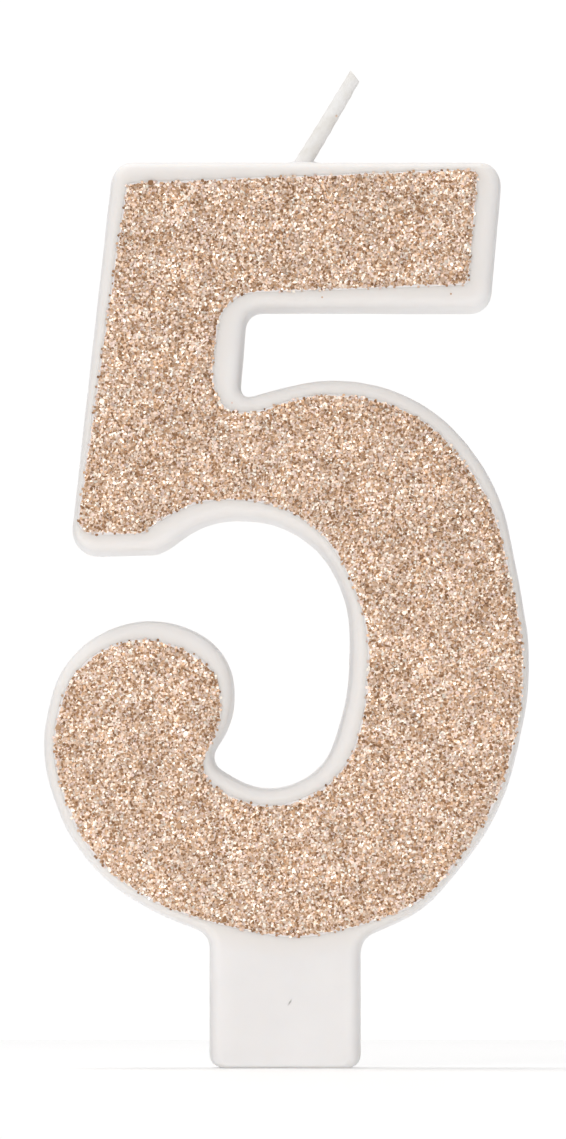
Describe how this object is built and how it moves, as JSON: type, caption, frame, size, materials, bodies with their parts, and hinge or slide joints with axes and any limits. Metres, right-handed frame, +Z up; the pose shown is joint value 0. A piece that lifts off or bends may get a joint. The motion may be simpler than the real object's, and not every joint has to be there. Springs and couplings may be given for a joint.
{
  "type": "number birthday candle",
  "caption": "Cast wax numeral candle, shape of a 5, with a glitter-coated front, a waxed wick in the top bar and a flat tab below that pushes into a cake.",
  "frame": {"origin": "centre of the tab's flat bottom face", "axes": "+Z up the height of the numeral, +X to the right of the numeral as it is read, -Y out of the glittered front face"},
  "size_m": [0.0485, 0.011, 0.0995],
  "materials": {
    "wax": "satin white paraffin wax, slightly translucent",
    "glue_film": "clear dried glue",
    "glitter": "rose-gold metallised polyester glitter",
    "cotton": "plaited cotton",
    "wick_wax": "translucent wax coat"
  },
  "bodies": {
    "root": {"wax_body": "wax", "adhesive_film": "glue_film", "glitter_layer": "glitter", "wick_strand_1": "cotton", "wick_strand_2": "cotton", "wick_strand_3": "cotton", "wick_wax_coat": "wick_wax"}
  },
  "joints": []
}
